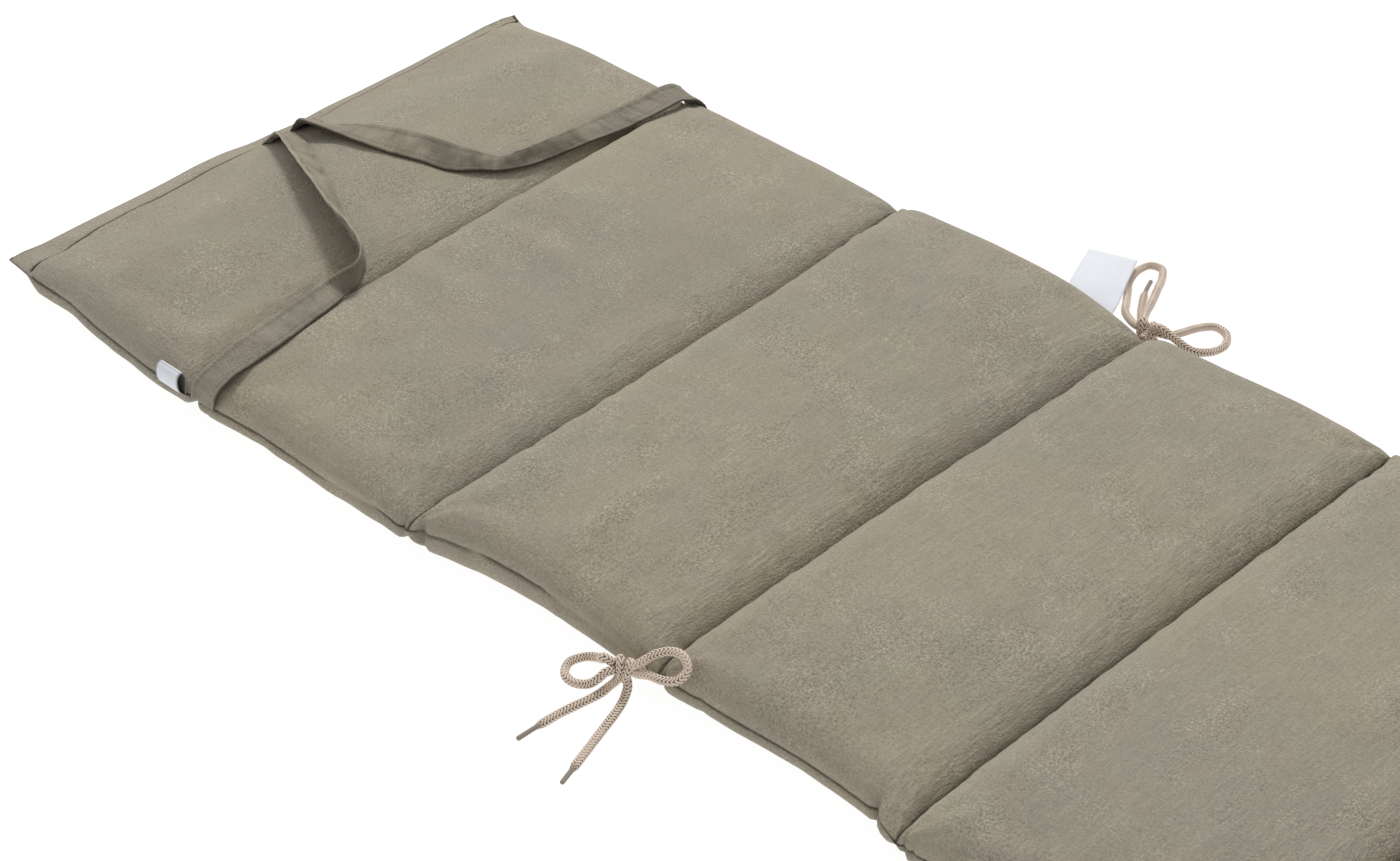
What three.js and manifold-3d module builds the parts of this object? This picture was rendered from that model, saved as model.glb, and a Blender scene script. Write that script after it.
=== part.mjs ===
// Recliner cushion: one filled pad, sewn across into panels, with two cloth straps at its head end,
// a tied cord on each long side and two labels.
// Millimetres. x is counted from the head end towards the foot, y from the near long side (negative)
// to the far one, z up from the surface that the cushion lies on. The group moves x to the middle.

import * as THREE from "three";
import { mergeVertices } from "three/addons/utils/BufferGeometryUtils.js";
import Module from "manifold-3d";

const LENGTH = 1760;

// The pad's form between its seams
const CROWN_ARCH = 3;
const FLANK_WIDTH = 45;
const END_WIDTH = 95;
const SHOULDER_POWER = 4;
const FLANK_POWER = 3;
const END_POWER = 1.25;
const SIDE_ROUND = 5;
const SIDE_FULL = 2.2;
const END_TOP = 11;
const END_UNDERSIDE = 6;
const UNDERSIDE_GROOVE = 9;
const UNDERSIDE_GROOVE_WIDTH = 11;
const UNDERSIDE_END_WIDTH = 14;
const UNDERSIDE_FLAT = 0.93;
const HEAD_EDGE_MIDDLE = -10;
const HEAD_EDGE_SWING = 9.5;
const STATIONS = [0, 4, 9, 16, 27, 45, 72];
const TOP_STEPS = 18;
const UNDERSIDE_STEPS = [0.93, 0.55, 0.2, -0.2, -0.55, -0.93];
const UNDERSIDE_ROUND = [0.985, 0.96];

// Cloth, cord and label stock
const STRAP_THICKNESS = 1.8;
const LABEL_THICKNESS = 1;
const CORD_DIAMETER = 7.5;
const CORD_SIDES = 8;
const CORD_STEP = 8.5;

const clothGrey = { color: 0x9d9583, roughness: 0.95, metalness: 0 };
const cordBeige = { color: 0xc8af96, roughness: 0.9, metalness: 0 };
const labelWhite = { color: 0xe9eaee, roughness: 0.8, metalness: 0 };

// One row for each seam across the pad, the two ends included: where it meets the near and the far
// side seam, how high both lie there, and how high the bottom of its channel is.
const seams = [
  { nearX: 0, farX: 0, nearY: -243, farY: 252, nearZ: 15, farZ: 12, channel: END_TOP },
  { nearX: 215, farX: 213, nearY: -255, farY: 251, nearZ: 13, farZ: 15, channel: 22 },
  { nearX: 432, farX: 427, nearY: -253, farY: 252, nearZ: 12, farZ: 15, channel: 24 },
  { nearX: 648, farX: 659, nearY: -244, farY: 246, nearZ: 13, farZ: 15, channel: 22 },
  { nearX: 854, farX: 861, nearY: -248, farY: 253, nearZ: 13, farZ: 15, channel: 20 },
  { nearX: 1082, farX: 1084, nearY: -248, farY: 250, nearZ: 13, farZ: 14, channel: 21 },
  { nearX: 1308, farX: 1306, nearY: -249, farY: 250, nearZ: 13, farZ: 14, channel: 22 },
  { nearX: 1533, farX: 1534, nearY: -248, farY: 250, nearZ: 13, farZ: 14, channel: 21 },
  { nearX: LENGTH, farX: LENGTH, nearY: -244, farY: 246, nearZ: 12, farZ: 12, channel: END_TOP },
];

// One row for each panel between two seams: its crown's height, and how far its filling pushes the
// side seams out (or draws them in) halfway along.
const panels = [
  { crown: 45, nearOut: -1, farOut: -1 },
  { crown: 47, nearOut: -2, farOut: -2 },
  { crown: 48, nearOut: -8, farOut: 10 },
  { crown: 48, nearOut: -6, farOut: 0 },
  { crown: 48, nearOut: -6, farOut: 6 },
  { crown: 47, nearOut: -6, farOut: 6 },
  { crown: 48, nearOut: -5, farOut: 5 },
  { crown: 46, nearOut: -2, farOut: 4 },
];

const mix = (a, b, t) => a + (b - a) * t;
const fall = (distance, width, power) => Math.max(0, 1 - distance / width) ** power;

// The head end's edge swings towards the head on the near half
function headEdge(v) {
  return HEAD_EDGE_MIDDLE + HEAD_EDGE_SWING * Math.tanh(2.5 * v + 0.3);
}

function seamX(index, v) {
  const row = seams[index];
  return mix(row.nearX, row.farX, (v + 1) / 2) + (index === 0 ? headEdge(v) : 0);
}

// Everything about the pad at part t of a panel and at v, from -1 at the near side seam to 1 at the far
function padSection(panel, t, v) {
  const [from, to] = [seams[panel], seams[panel + 1]];
  const shape = panels[panel];
  const swell = Math.sin(Math.PI * t);
  const nearY = mix(from.nearY, to.nearY, t) - shape.nearOut * swell;
  const farY = mix(from.farY, to.farY, t) + shape.farOut * swell;
  const sideZ = mix(mix(from.nearZ, to.nearZ, t), mix(from.farZ, to.farZ, t), (v + 1) / 2);
  const length = seamX(panel + 1, v) - seamX(panel, v);
  let top = shape.crown + CROWN_ARCH * 4 * t * (1 - t);
  let under = 0;
  const sides = [
    { seam: from, index: panel, distance: t * length, power: SHOULDER_POWER },
    { seam: to, index: panel + 1, distance: (1 - t) * length, power: FLANK_POWER },
  ];
  for (const { seam, index, distance, power } of sides) {
    const isEnd = index === 0 || index === seams.length - 1;
    const width = isEnd ? END_WIDTH : FLANK_WIDTH;
    top -= (shape.crown - seam.channel) * fall(distance, width, isEnd ? END_POWER : power);
    under += isEnd
      ? END_UNDERSIDE * fall(distance, UNDERSIDE_END_WIDTH, 1.5)
      : UNDERSIDE_GROOVE * fall(distance, UNDERSIDE_GROOVE_WIDTH, 1.5);
  }
  const round = (1 - Math.abs(v) ** SIDE_ROUND) ** (1 / SIDE_FULL);
  const lift = Math.max(0, (Math.abs(v) - UNDERSIDE_FLAT) / (1 - UNDERSIDE_FLAT)) ** 2;
  return {
    x: mix(seamX(panel, v), seamX(panel + 1, v), t),
    y: mix(nearY, farY, (v + 1) / 2),
    nearY,
    farY,
    topZ: sideZ + Math.max(0, top - sideZ) * round,
    underZ: mix(under, sideZ, lift),
  };
}

// Height of the pad's top face under a point
function padTop(x, y) {
  let v = y / 250;
  let result = null;
  for (let pass = 0; pass < 4; pass += 1) {
    let panel = 0;
    while (panel < panels.length - 1 && x > seamX(panel + 1, v)) {
      panel += 1;
    }
    const t = (x - seamX(panel, v)) / (seamX(panel + 1, v) - seamX(panel, v));
    const clamped = Math.min(1, Math.max(0, t));
    result = padSection(panel, clamped, v);
    v = Math.min(1, Math.max(-1, (2 * (y - result.nearY)) / (result.farY - result.nearY) - 1));
  }
  return result.topZ;
}

// A closed solid through rings that all have the same number of points, each running clockwise
// when seen along the loft
function loft(rings) {
  const size = rings[0].length;
  const points = rings.flat();
  const triangles = [];
  for (let ring = 0; ring < rings.length - 1; ring += 1) {
    for (let k = 0; k < size; k += 1) {
      const a = ring * size + k;
      const b = ring * size + ((k + 1) % size);
      triangles.push(a, b, b + size, a, b + size, a + size);
    }
  }
  for (const [ring, forward] of [[0, false], [rings.length - 1, true]]) {
    const centre = new THREE.Vector3();
    rings[ring].forEach((point) => centre.addScaledVector(point, 1 / size));
    const middle = points.push(centre) - 1;
    for (let k = 0; k < size; k += 1) {
      const a = ring * size + k;
      const b = ring * size + ((k + 1) % size);
      triangles.push(...(forward ? [a, b, middle] : [b, a, middle]));
    }
  }
  const geometry = new THREE.BufferGeometry().setFromPoints(points);
  geometry.setIndex(triangles);
  geometry.computeVertexNormals();
  return geometry;
}

function piece(name, geometry, look) {
  const mesh = new THREE.Mesh(geometry, new THREE.MeshStandardMaterial(look));
  mesh.name = name;
  return mesh;
}

// The pad: rings across it, closer together beside each seam
function padRing(panel, t) {
  const ring = [];
  for (let step = 0; step <= TOP_STEPS; step += 1) {
    const w = (2 * step) / TOP_STEPS - 1;
    const v = Math.sign(w) * (1 - (1 - Math.abs(w)) ** SIDE_FULL);
    const at = padSection(panel, t, v);
    ring.push(new THREE.Vector3(at.x, at.y, at.topZ));
  }
  const back = UNDERSIDE_ROUND.map((v) => -v).reverse();
  for (const v of [...UNDERSIDE_ROUND, ...UNDERSIDE_STEPS, ...back]) {
    const at = padSection(panel, t, v);
    ring.push(new THREE.Vector3(at.x, at.y, at.underZ));
  }
  return ring.reverse();
}

function makePad() {
  const rings = [];
  panels.forEach((_, panel) => {
    const length = seamX(panel + 1, 0) - seamX(panel, 0);
    const before = STATIONS.map((distance) => distance / length);
    const after = STATIONS.slice(1).map((distance) => 1 - distance / length).reverse();
    [...before, 0.5, ...after].forEach((t) => rings.push(padRing(panel, t)));
  });
  rings.push(padRing(panels.length - 1, 1));
  return piece("cushion", loft(rings), clothGrey);
}

// A point that lies on the pad, with the band's half thickness and a small gap below it
const restLift = STRAP_THICKNESS / 2 + 0.9;
const on = (x, y, more = 0) => new THREE.Vector3(x, y, padTop(x, y) + restLift + more);
const at = (x, y, z) => new THREE.Vector3(x, y, z);

// A band of cloth: each row holds a point on its one edge and the point across from it on the other
function makeBand(rows, thickness, stepsPerRow) {
  const edges = ["raised", "low"].map((edge) => new THREE.CatmullRomCurve3(rows.map((row) => row[edge])));
  const steps = (rows.length - 1) * stepsPerRow;
  const middleAt = (t) => edges[0].getPoint(t).add(edges[1].getPoint(t)).multiplyScalar(0.5);
  const rings = [];
  for (let step = 0; step <= steps; step += 1) {
    const t = step / steps;
    const [left, right] = edges.map((edge) => edge.getPoint(t));
    const along = middleAt(Math.min(1, t + 0.01)).sub(middleAt(Math.max(0, t - 0.01)));
    const normal = along.cross(right.clone().sub(left)).normalize().multiplyScalar(thickness / 2);
    rings.push([
      left.clone().add(normal),
      left.clone().sub(normal),
      right.clone().sub(normal),
      right.clone().add(normal),
    ]);
  }
  return loft(rings);
}

// The near strap, sewn in at the head seam: it rises, runs over the head panel on its low edge, turns
// at the first seam and lies along it to the near side seam.
const strapNearRows = [
  { raised: on(13, -20), low: on(13, 7) },
  { raised: at(24, -21, 35), low: on(27, 3) },
  { raised: at(36, -26, 47), low: on(42, -4) },
  { raised: at(52, -34, 56), low: on(59, -13) },
  { raised: at(72, -45, 62.5), low: on(80, -24) },
  { raised: at(100, -58, 67.5), low: on(108, -38) },
  { raised: at(138, -74, 72), low: on(145, -57, 0.3) },
  { raised: at(170, -87, 74), low: on(176, -74, 0.6) },
  { raised: at(192, -93, 75), low: on(196, -81, 1) },
  { raised: at(214, -100, 73), low: at(211, -91, 45) },
  { raised: at(226, -107, 69), low: at(219, -101, 41) },
  { raised: at(230, -116, 66), low: on(223, -113, 0.5) },
  { raised: at(224, -126, 60), low: on(229, -124, 0.6) },
  { raised: at(216, -137, 51.5), low: on(237, -140, 0.3) },
  { raised: at(214.5, -158, 47.5), low: on(241, -163) },
  { raised: at(216, -190, 46), low: on(243.5, -192) },
  { raised: at(217, -218, 44), low: on(242, -221) },
  { raised: at(217, -240, 38), low: at(241, -242, 37) },
  { raised: at(214, -255, 29), low: at(240, -256, 29) },
  { raised: at(211, -256.6, 15), low: at(236, -256.8, 15) },
];

// The far strap, sewn in beside it: a small roll at the head edge, then it lies on the head panel,
// crosses the first channel and goes over the far side seam.
const strapFarRows = [
  { raised: on(13, 8.6), low: on(13, 37) },
  { raised: at(30, 3, 42), low: on(29, 31) },
  { raised: at(49, -4.5, 52.5), low: on(44, 23) },
  { raised: at(72, -0.5, 52.5), low: on(63, 26) },
  { raised: at(96, 4, 51.5), low: on(87, 32, 1) },
  { raised: on(124, 12.5), low: on(112, 40, 3) },
  { raised: on(148, 21), low: on(136, 47, 3.5) },
  { raised: on(170, 29.5), low: on(156, 54, 3) },
  { raised: at(191, 40.5, 50), low: on(174, 62.5, 2) },
  { raised: at(205, 50, 51.5), low: on(185, 71, 1.5) },
  { raised: at(215, 61, 53), low: on(191.5, 80.5, 5) },
  { raised: at(221, 78, 54), low: at(196.5, 92, 50) },
  { raised: at(225.5, 104, 54), low: at(199, 112, 50) },
  { raised: at(228.5, 126, 53.5), low: at(201, 132, 50) },
  { raised: at(231, 151, 51.5), low: at(202.5, 155, 50) },
  { raised: at(232, 178, 49), low: at(204, 180, 49.5) },
  { raised: at(233.5, 203, 48.5), low: at(206, 203, 49.5) },
  { raised: at(236, 219, 47.8), low: at(208.5, 219, 49) },
  { raised: at(237, 231, 45.5), low: at(210.5, 230.5, 46.5) },
  { raised: at(237.5, 241.5, 38), low: at(210.5, 241.5, 38) },
  { raised: at(237, 249, 27), low: at(209.5, 249.5, 27) },
  { raised: at(236.5, 252.8, 15), low: at(209, 252.9, 15) },
];

// The care label hangs out of the far side seam, low on the surface, skewed towards the head
const careLabelRows = [
  { raised: at(619, 252.9, 14), low: at(577, 258.4, 15) },
  { raised: at(614, 271, 16), low: at(571, 270, 16) },
  { raised: at(601, 299, 14.5), low: at(559, 297, 11) },
  { raised: at(588, 328, 12.5), low: at(547, 324, 6) },
];

// The side label is a strip folded over: its two layers meet in the near side seam
const sideLabel = { fromX: 180, toX: 206, skewY: -1.5, steps: 4 };
const sideLabelFold = [
  { y: -255.3, z: 12 },
  { y: -262.5, z: 19 },
  { y: -263.5, z: 27 },
  { y: -258, z: 32 },
  { y: -251.5, z: 31 },
  { y: -251.8, z: 24 },
  { y: -255.3, z: 16.5 },
];

function makeSideLabel() {
  const outline = new THREE.CatmullRomCurve3(sideLabelFold.map((row) => at(0, row.y, row.z)));
  const count = (sideLabelFold.length - 1) * 3;
  const points = outline.getPoints(count);
  const across = points.map((_, k) => {
    const along = points[Math.min(count, k + 1)].clone().sub(points[Math.max(0, k - 1)]);
    return new THREE.Vector3(0, along.z, -along.y).normalize().multiplyScalar(LABEL_THICKNESS / 2);
  });
  const section = [
    ...points.map((point, k) => point.clone().add(across[k])),
    ...points.map((point, k) => point.clone().sub(across[k])).reverse(),
  ];
  const shape = new THREE.Shape(section.map((point) => new THREE.Vector2(point.y, point.z)));
  const geometry = new THREE.ExtrudeGeometry(shape, {
    depth: sideLabel.toX - sideLabel.fromX,
    steps: sideLabel.steps,
    bevelEnabled: false,
  });
  const turned = new THREE.Matrix4().makeBasis(at(0, 1, 0), at(0, 0, 1), at(1, 0, 0));
  turned.setPosition(sideLabel.fromX, 0, 0);
  geometry.applyMatrix4(turned);
  return piece("side_label", geometry, labelWhite);
}

// The tie cords. Each side has one cord, sewn in by its middle: the knot stands off the side seam, and
// the two halves of the cord make a loop and a free tail each.
const ties = [
  {
    name: "tie_near",
    knot: {
      turns: [
        { x: 627.5, y: -257.5, z: 21, radii: [6.5, 6.5, 10.5], lean: 8 },
        { x: 636, y: -257, z: 20.5, radii: [6.5, 6.5, 10.5], lean: -14 },
      ],
      root: { from: at(633, -253, 17), to: at(636, -244.8, 14), radius: 4.5 },
    },
    cords: {
      loop_head: [
        at(618, -260.8, 22), at(612.5, -257, 15), at(604, -252.5, 8), at(595, -255, 4.6), at(591, -265, 4.2),
        at(597, -275, 4.2), at(607, -277, 4.4), at(616, -273.5, 6.5), at(622, -270.5, 12.5), at(624.5, -266, 16.5),
      ],
      loop_foot: [
        at(641.9, -255.2, 26.9), at(650, -246, 34.5), at(658, -240, 37.5), at(667, -239, 37.5), at(673.5, -243, 33),
        at(671.5, -250, 28), at(663, -254, 25.5), at(652, -255.5, 24), at(643.4, -256.6, 20.8),
      ],
      tail_head: [
        at(628.8, -260.7, 9.4), at(626.5, -265, 5.5), at(626, -272, 4.2), at(624.5, -282, 4.1), at(621, -300, 4.1),
        at(619, -319, 4.1), at(618, -338, 4.1),
      ],
      tail_foot: [
        at(638.2, -260.2, 10.8), at(640.5, -265, 6), at(644, -274, 4.2), at(649, -290, 4.1), at(655, -310, 4.1),
        at(661, -330, 4.1), at(666, -347, 4.1),
      ],
    },
  },
  {
    name: "tie_far",
    knot: {
      turns: [
        { x: 645, y: 258, z: 17.5, radii: [6, 6.5, 9.5], lean: -6 },
        { x: 653, y: 258.5, z: 17, radii: [6, 6.5, 9.5], lean: 12 },
      ],
      root: { from: at(650, 254, 16), to: at(652, 250.2, 15), radius: 4.5 },
    },
    cords: {
      loop_head: [
        at(641.8, 264.5, 19), at(636, 275, 17), at(629, 291, 14), at(619, 312, 10.5), at(610, 330, 7),
        at(601, 341, 5), at(592, 340, 4.2), at(589, 328, 4.2), at(593, 313, 4.3), at(600, 302, 5),
        at(610, 287, 8), at(622, 270, 12.5), at(637.5, 260, 15.5),
      ],
      loop_foot: [
        at(662.9, 258.8, 19.9), at(665, 264, 17), at(666, 280, 12), at(668, 298, 7.5), at(674, 309, 5),
        at(685, 307, 4.8), at(692, 295, 5), at(691, 279, 7.5), at(684, 265, 13), at(672, 259.2, 21),
        at(661.4, 256.4, 26.2),
      ],
      tail_head: [
        at(644, 262.5, 8.3), at(639, 268, 5.5), at(628, 281, 4.2), at(617, 297, 4.1), at(609, 312, 4.1),
        at(604, 325, 4.1),
      ],
      tail_foot: [
        at(655, 262, 7.6), at(662, 263.5, 4.6), at(674, 263.5, 4.1), at(694, 263, 4.1), at(716, 264, 4.1),
        at(738, 266, 4.1),
      ],
    },
  },
];

const wasm = await Module();
wasm.setup();

function toSolid(geometry) {
  const bare = geometry.clone();
  bare.deleteAttribute("normal");
  bare.deleteAttribute("uv");
  const merged = mergeVertices(bare, 1e-4);
  return new wasm.Manifold(new wasm.Mesh({
    numProp: 3,
    vertProperties: new Float32Array(merged.attributes.position.array),
    triVerts: new Uint32Array(merged.index.array),
  }));
}

function toGeometry(solid) {
  const mesh = solid.getMesh();
  const geometry = new THREE.BufferGeometry();
  geometry.setAttribute("position", new THREE.BufferAttribute(new Float32Array(mesh.vertProperties), 3));
  geometry.setIndex(new THREE.BufferAttribute(new Uint32Array(mesh.triVerts), 1));
  geometry.computeVertexNormals();
  return geometry;
}

// The knot: two turns of cord side by side, and the short stretch that leaves the side seam
function makeKnot(name, { turns, root }) {
  const run = root.to.clone().sub(root.from);
  const stem = new THREE.CylinderGeometry(root.radius, root.radius, run.length(), CORD_SIDES);
  stem.applyQuaternion(new THREE.Quaternion().setFromUnitVectors(at(0, 1, 0), run.clone().normalize()));
  stem.translate(...root.from.clone().add(root.to).multiplyScalar(0.5).toArray());
  let solid = toSolid(stem);
  for (const turn of turns) {
    const ball = new THREE.SphereGeometry(1, 14, 10);
    ball.rotateX(Math.PI / 2);
    ball.scale(...turn.radii);
    ball.rotateY(THREE.MathUtils.degToRad(turn.lean));
    ball.translate(turn.x, turn.y, turn.z);
    solid = solid.add(toSolid(ball));
  }
  return piece(`${name}_knot`, toGeometry(solid), cordBeige);
}

function makeCord(name, route) {
  const curve = new THREE.CatmullRomCurve3(route, false, "centripetal");
  const circle = new THREE.Shape();
  circle.absarc(0, 0, CORD_DIAMETER / 2, 0, 2 * Math.PI);
  const geometry = new THREE.ExtrudeGeometry(circle, {
    curveSegments: CORD_SIDES,
    steps: Math.round(curve.getLength() / CORD_STEP),
    extrudePath: curve,
  });
  return piece(name, geometry, cordBeige);
}

const cushion = new THREE.Group();
cushion.position.x = -LENGTH / 2;
cushion.add(makePad());
cushion.add(piece("strap_near", makeBand(strapNearRows, STRAP_THICKNESS, 3), clothGrey));
cushion.add(piece("strap_far", makeBand(strapFarRows, STRAP_THICKNESS, 3), clothGrey));
cushion.add(piece("care_label", makeBand(careLabelRows, LABEL_THICKNESS, 4), labelWhite));
cushion.add(makeSideLabel());
for (const tie of ties) {
  cushion.add(makeKnot(tie.name, tie.knot));
  for (const [part, route] of Object.entries(tie.cords)) {
    cushion.add(makeCord(`${tie.name}_${part}`, route));
  }
}

const model = new THREE.Group();
model.add(cushion);

export default model;
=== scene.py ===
"""The looks of the recliner cushion: its padded cover, straps, tied cords and labels.

Lengths in the tables are millimetres. x is counted from the head end, y from the near long side
(negative) to the far one, and z up from the surface that the cushion lies on, as in the solids.
"""

import math

import bpy
import numpy as np
from mathutils import Euler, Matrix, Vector


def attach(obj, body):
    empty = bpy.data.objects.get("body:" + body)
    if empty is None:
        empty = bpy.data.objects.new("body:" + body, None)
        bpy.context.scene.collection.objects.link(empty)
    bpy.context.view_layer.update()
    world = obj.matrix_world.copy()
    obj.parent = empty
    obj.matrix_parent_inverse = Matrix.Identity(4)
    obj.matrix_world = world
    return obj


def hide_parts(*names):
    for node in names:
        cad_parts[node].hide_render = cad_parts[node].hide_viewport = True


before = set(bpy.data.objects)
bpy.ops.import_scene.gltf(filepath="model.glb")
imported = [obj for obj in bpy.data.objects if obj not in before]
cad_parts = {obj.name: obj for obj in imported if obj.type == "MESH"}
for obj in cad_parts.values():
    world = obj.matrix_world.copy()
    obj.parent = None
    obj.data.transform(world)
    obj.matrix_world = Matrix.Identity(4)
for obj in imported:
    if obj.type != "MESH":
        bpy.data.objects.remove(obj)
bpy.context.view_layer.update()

LENGTH = 1760
HALF_LENGTH = LENGTH / 2
MM = 0.001


def to_frame(points):
    """Points of the tables, in mm from the head end, as metres in the row's frame."""
    return (np.asarray(points, float) - (HALF_LENGTH, 0, 0)) * MM


def add_object(name, data):
    thing = bpy.data.objects.new(name, data)
    bpy.context.scene.collection.objects.link(thing)
    return thing


# ---- camera
CAMERA_PLACE = (0.87042, -1.37570, 1.42597)
CAMERA_YAW = 2.326006
CAMERA_PITCH = 0.656794
LENS = 86.64
SENSOR = 36.0


def make_camera():
    data = bpy.data.cameras.new("camera")
    data.lens = LENS
    data.sensor_width = SENSOR
    data.clip_end = 60
    camera = add_object("camera", data)
    camera.location = CAMERA_PLACE
    camera.rotation_euler = Euler((math.pi / 2 - CAMERA_PITCH, 0, CAMERA_YAW - math.pi / 2))
    bpy.context.scene.camera = camera


make_camera()


# ---- small tools
def table(columns, *rows):
    """Rows of numbers as dictionaries that name each column."""
    return [dict(zip(columns.split(), row)) for row in rows]


def read(rows, column, by, at):
    """A table's column at the places `at` along its column `by`."""
    return np.interp(at, [row[by] for row in rows], [row[column] for row in rows])


def spread_noise(u, v, size, seed, waves=10):
    """Smooth noise from -1 to 1 over u and v: a sum of waves about `size` long."""
    draw = np.random.default_rng(seed)
    total = np.zeros(np.broadcast(u, v).shape)
    for _ in range(waves):
        angle = draw.uniform(0, 2 * math.pi)
        length = size * draw.uniform(0.6, 1.7)
        phase = draw.uniform(0, 2 * math.pi)
        along = u * math.cos(angle) + v * math.sin(angle)
        total = total + np.sin(2 * math.pi * along / length + phase)
    return total / math.sqrt(waves / 2) / 2


def line_noise(u, size, seed, waves=8):
    return spread_noise(u, np.zeros_like(u), size, seed, waves)


def fall(distance, width, power):
    return np.maximum(0, 1 - distance / width) ** power


def held(value):
    """The value held between 0 and 1."""
    return np.clip(value, 0, 1)


def eased(value):
    """The value held between 0 and 1, setting off and ending slowly."""
    value = held(value)
    return value * value * (3 - 2 * value)


def hump(value, centre, width):
    return np.exp(-(((value - centre) / width) ** 2))


def spline(points, count):
    """A centripetal Catmull-Rom curve through the points, as three.js draws it."""
    points = np.asarray(points, float)
    first = 2 * points[0] - points[1]
    last = 2 * points[-1] - points[-2]
    p = np.vstack([first, points, last])
    place = np.linspace(0, len(points) - 1, count)
    index = np.minimum(place.astype(int), len(points) - 2)
    w = place - index
    p0, p1, p2, p3 = p[index], p[index + 1], p[index + 2], p[index + 3]
    d0, d1, d2 = (np.maximum(np.linalg.norm(b - a, axis=1, keepdims=True) ** 0.5, 1e-4)
                  for a, b in ((p0, p1), (p1, p2), (p2, p3)))
    t1 = ((p1 - p0) / d0 - (p2 - p0) / (d0 + d1) + (p2 - p1) / d1) * d1
    t2 = ((p2 - p1) / d1 - (p3 - p1) / (d1 + d2) + (p3 - p2) / d2) * d1
    w = w[:, None]
    return (p1 + t1 * w + (3 * (p2 - p1) - 2 * t1 - t2) * w ** 2
            + (2 * (p1 - p2) + t1 + t2) * w ** 3)


def distances_along(points):
    """How far each point of a chain lies from its start, along it."""
    return np.concatenate([[0], np.cumsum(np.linalg.norm(np.diff(points, axis=0), axis=1))])


def even_spline(points, step):
    """The same curve with points about `step` apart."""
    rough = spline(points, 40 * len(points))
    gone = distances_along(rough)
    count = max(8, int(round(gone[-1] / step)) + 1)
    places = np.linspace(0, gone[-1], count)
    return np.stack([np.interp(places, gone, rough[:, k]) for k in range(3)], axis=1), gone[-1]


def unit(vectors):
    return vectors / np.maximum(np.linalg.norm(vectors, axis=-1, keepdims=True), 1e-9)


def grid_faces(rows, columns, wrap=False):
    """Quads over a grid of rows × columns points, the last column joined to the first by wrap."""
    r = np.arange(rows - 1)[:, None]
    c = np.arange(columns if wrap else columns - 1)[None, :]
    after = (c + 1) % columns
    a = r * columns + c
    b = r * columns + after
    return np.stack([a, b, b + columns, a + columns], axis=-1).reshape(-1, 4)


def make_object(name, points, faces, material, uv=None, marks=None, round_uv=False):
    """A mesh object. uv has a row for each point, and marks names a number for each point.

    With round_uv the second uv runs once round a tube, from 0 to 1.
    """
    mesh = bpy.data.meshes.new(name)
    mesh.from_pydata(to_frame(points).tolist(), [], [list(map(int, face)) for face in faces])
    mesh.shade_smooth()
    if uv is not None:
        layer = mesh.uv_layers.new(name="along")
        corner = np.zeros(len(mesh.loops), dtype=np.int32)
        mesh.loops.foreach_get("vertex_index", corner)
        place = np.asarray(uv, np.float32)[corner]
        if round_uv:
            starts = np.zeros(len(mesh.polygons), dtype=np.int32)
            mesh.polygons.foreach_get("loop_start", starts)
            highest = np.maximum.reduceat(place[:, 1], starts)
            sizes = np.diff(np.append(starts, len(corner)))
            place[:, 1] += (np.repeat(highest, sizes) > 0.75) & (place[:, 1] < 0.25)
        layer.data.foreach_set("uv", place.ravel())
    for mark, values in (marks or {}).items():
        attribute = mesh.attributes.new(mark, "FLOAT", "POINT")
        attribute.data.foreach_set("value", np.asarray(values, np.float32).ravel())
    mesh.materials.append(material)
    return add_object(name, mesh)


def dress(piece, node):
    """The piece stands in for its CAD node, which it hides, on the one body."""
    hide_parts(node)
    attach(piece, "root")


# ---- materials
class Nodes:
    """A short way to write a material's nodes."""

    def __init__(self, name):
        self.material = bpy.data.materials.new(name)
        self.material.use_nodes = True
        self.tree = self.material.node_tree
        self.tree.nodes.clear()
        self.shader = self.add("ShaderNodeBsdfPrincipled")
        output = self.add("ShaderNodeOutputMaterial")
        self.link(self.shader.outputs[0], output.inputs[0])

    def add(self, kind, **settings):
        node = self.tree.nodes.new(kind)
        for key, value in settings.items():
            setattr(node, key, value)
        return node

    def link(self, source, target):
        if hasattr(source, "is_output"):
            self.tree.links.new(source, target)
        else:
            target.default_value = source

    def feed(self, node, inputs):
        for name, value in inputs.items():
            self.link(value, node.inputs[name])
        return node.outputs

    def math(self, operation, a, b=0.0):
        return self.feed(self.add("ShaderNodeMath", operation=operation), {0: a, 1: b})[0]

    def times(self, a, b):
        return self.math("MULTIPLY", a, b)

    def plus(self, a, b):
        return self.math("ADD", a, b)

    def mix(self, share, a, b):
        node = self.add("ShaderNodeMix", data_type="RGBA")
        return self.feed(node, {"Factor": share, 6: a, 7: b})[2]

    def ramp(self, value, low, high):
        node = self.add("ShaderNodeMapRange", clamp=True, interpolation_type="SMOOTHSTEP")
        return self.feed(node, {"Value": value, "From Min": low, "From Max": high})["Result"]

    def noise(self, where, scale, detail=2.0, stretch=(1, 1, 1), rough=0.5):
        place = self.feed(self.add("ShaderNodeMapping"), {"Scale": stretch, "Vector": where})[0]
        inputs = {"Scale": scale, "Detail": detail, "Roughness": rough, "Vector": place}
        return self.feed(self.add("ShaderNodeTexNoise"), inputs)["Fac"]

    def mark(self, name):
        return self.add("ShaderNodeAttribute", attribute_name=name).outputs["Fac"]

    def bump(self, height, distance, strength):
        inputs = {"Distance": distance, "Strength": strength, "Height": height}
        return self.feed(self.add("ShaderNodeBump"), inputs)[0]


CLOTH_TAUPE = (0.360, 0.318, 0.234, 1)
CLOTH_GREEN_GREY = (0.314, 0.294, 0.234, 1)
CLOTH_WARM = (0.352, 0.298, 0.243, 1)
CLOTH_FLECK = (0.56, 0.52, 0.39, 1)
CLOTH_DARK_THREAD = (0.135, 0.116, 0.090, 1)
SEAM_SHADE = (0.030, 0.023, 0.015, 1)


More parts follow.
